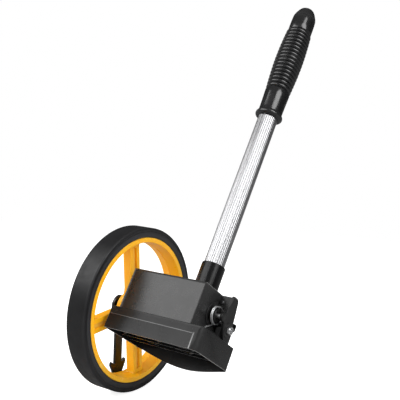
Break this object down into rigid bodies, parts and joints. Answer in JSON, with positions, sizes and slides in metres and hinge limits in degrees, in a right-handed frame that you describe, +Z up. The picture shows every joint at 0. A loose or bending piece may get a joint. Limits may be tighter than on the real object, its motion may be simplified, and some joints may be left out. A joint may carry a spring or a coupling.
{
  "type": "measuring wheel",
  "caption": "Hand-held distance measuring wheel: spoked wheel geared to a digit counter box beside it, gravity pointer, ribbed grip on a telescoping tube.",
  "frame": {"origin": "middle of the flat end of the axle's head, beside the pointer; the wheel's mid plane is at y = 22.6 mm", "axes": "+X the way the tool is pushed, +Y along the axle from the wheel to the counter box, +Z up; the handle leans back 32 degrees from +Z towards -X"},
  "size_m": [0.2761, 0.1368, 0.3879],
  "materials": {
    "tyre_rubber": "smooth black rubber, satin, with a slightly polished shoulder",
    "wheel_yellow": "moulded warm yellow plastic, semi-gloss",
    "case_black": "fine-textured satin black moulded plastic that reads grey in light",
    "pointer_black": "black moulded plastic",
    "grip_black": "glossy black moulded grip",
    "tube_aluminium": "bright drawn aluminium with fine lengthwise flutes",
    "steel_bright": "bright zinc-plated steel",
    "bush_brass": "plain sintered bronze",
    "counter_white": "white acetal",
    "window_clear": "clear moulded magnifying window"
  },
  "bodies": {
    "frame": {"axle": "steel_bright", "axle_nut": "steel_bright", "pointer_washer": "steel_bright", "pointer_spacer": "case_black", "axle_spacer_left": "steel_bright", "axle_spacer_right": "case_black", "upper_cover": "case_black", "lower_skirt": "case_black", "display_window": "window_clear", "side_bracket": "case_black", "cover_screw_1": "steel_bright", "cover_screw_2": "steel_bright", "cover_screw_3": "steel_bright", "cover_screw_4": "steel_bright", "socket_screw_1": "steel_bright", "socket_screw_2": "steel_bright", "counter_screw_1": "steel_bright", "counter_screw_2": "steel_bright", "bracket_screw_1": "steel_bright", "bracket_screw_2": "steel_bright", "pole_socket": "case_black", "outer_tube": "tube_aluminium", "tube_guide_bush": "case_black", "pinion_shaft": "steel_bright", "counter_frame": "steel_bright", "reset_spring": "steel_bright"},
    "wheel": {"tyre": "tyre_rubber", "wheel_rim": "wheel_yellow", "hub_bush_left": "bush_brass", "hub_bush_right": "bush_brass", "drive_gear": "counter_white", "gear_screw_1": "steel_bright", "gear_screw_2": "steel_bright", "gear_screw_3": "steel_bright"},
    "pointer_arm": {"pointer": "pointer_black"},
    "reset_arm": {"reset_lever": "case_black", "reset_shaft": "steel_bright", "reset_comb": "case_black"},
    "drum_1": {"counter_gear": "counter_white", "digit_drum_1": "counter_white"},
    "drum_2": {"digit_drum_2": "counter_white"},
    "drum_3": {"digit_drum_3": "counter_white"},
    "drum_4": {"digit_drum_4": "counter_white"},
    "drum_5": {"digit_drum_5": "counter_white"},
    "pinion_1": {"transfer_pinion_1": "counter_white"},
    "pinion_2": {"transfer_pinion_2": "counter_white"},
    "pinion_3": {"transfer_pinion_3": "counter_white"},
    "pinion_4": {"transfer_pinion_4": "counter_white"},
    "middle_section": {"middle_tube": "tube_aluminium", "middle_slide_bush": "case_black", "middle_guide_bush": "case_black"},
    "upper_section": {"inner_tube": "tube_aluminium", "inner_slide_bush": "case_black", "grip_plug": "case_black", "grip": "grip_black", "end_cap": "grip_black"}
  },
  "joints": [
    {"name": "wheel_spin", "type": "hinge", "parent": "frame", "child": "wheel", "pos_m": [0, 0.0226, 0], "axis": [0, 1, 0], "continuous": true},
    {"name": "pointer_swing", "type": "hinge", "parent": "frame", "child": "pointer_arm", "pos_m": [0, 0.0055, 0], "axis": [0, 1, 0], "continuous": true},
    {"name": "reset_pull", "type": "hinge", "parent": "frame", "child": "reset_arm", "pos_m": [0.00838, 0.1226, 0.01396], "axis": [0, 1, 0], "range_deg": [0, 15], "stiffness_Nm_per_rad": 0.08},
    {"name": "drum_1_turn", "type": "hinge", "parent": "frame", "child": "drum_1", "pos_m": [0.00838, 0.0532, 0.01396], "axis": [0, 1, 0], "continuous": true},
    {"name": "drum_2_turn", "type": "hinge", "parent": "frame", "child": "drum_2", "pos_m": [0.00838, 0.0594, 0.01396], "axis": [0, 1, 0], "continuous": true},
    {"name": "drum_3_turn", "type": "hinge", "parent": "frame", "child": "drum_3", "pos_m": [0.00838, 0.0656, 0.01396], "axis": [0, 1, 0], "continuous": true},
    {"name": "drum_4_turn", "type": "hinge", "parent": "frame", "child": "drum_4", "pos_m": [0.00838, 0.0718, 0.01396], "axis": [0, 1, 0], "continuous": true},
    {"name": "drum_5_turn", "type": "hinge", "parent": "frame", "child": "drum_5", "pos_m": [0.00838, 0.078, 0.01396], "axis": [0, 1, 0], "continuous": true},
    {"name": "pinion_1_turn", "type": "hinge", "parent": "frame", "child": "pinion_1", "pos_m": [0.02186, 0.0563, 0.01808], "axis": [0, 1, 0], "continuous": true},
    {"name": "pinion_2_turn", "type": "hinge", "parent": "frame", "child": "pinion_2", "pos_m": [0.02186, 0.0625, 0.01808], "axis": [0, 1, 0], "continuous": true},
    {"name": "pinion_3_turn", "type": "hinge", "parent": "frame", "child": "pinion_3", "pos_m": [0.02186, 0.0687, 0.01808], "axis": [0, 1, 0], "continuous": true},
    {"name": "pinion_4_turn", "type": "hinge", "parent": "frame", "child": "pinion_4", "pos_m": [0.02186, 0.0749, 0.01808], "axis": [0, 1, 0], "continuous": true},
    {"name": "middle_slide", "type": "slide", "parent": "frame", "child": "middle_section", "axis": [-0.5299, 0, 0.848], "range_m": [0, 0.142]},
    {"name": "upper_slide", "type": "slide", "parent": "middle_section", "child": "upper_section", "axis": [-0.5299, 0, 0.848], "range_m": [0, 0.252]}
  ],
  "couplings": [
    {"joint": "drum_1_turn", "follows": "wheel_spin", "ratio": -0.5},
    {"joint": "drum_2_turn", "follows": "wheel_spin", "ratio": -0.05},
    {"joint": "drum_3_turn", "follows": "wheel_spin", "ratio": -0.005},
    {"joint": "drum_4_turn", "follows": "wheel_spin", "ratio": -0.0005},
    {"joint": "drum_5_turn", "follows": "wheel_spin", "ratio": -0.00005},
    {"joint": "pinion_1_turn", "follows": "wheel_spin", "ratio": 0.125},
    {"joint": "pinion_2_turn", "follows": "wheel_spin", "ratio": 0.0125},
    {"joint": "pinion_3_turn", "follows": "wheel_spin", "ratio": 0.00125},
    {"joint": "pinion_4_turn", "follows": "wheel_spin", "ratio": 0.000125}
  ]
}
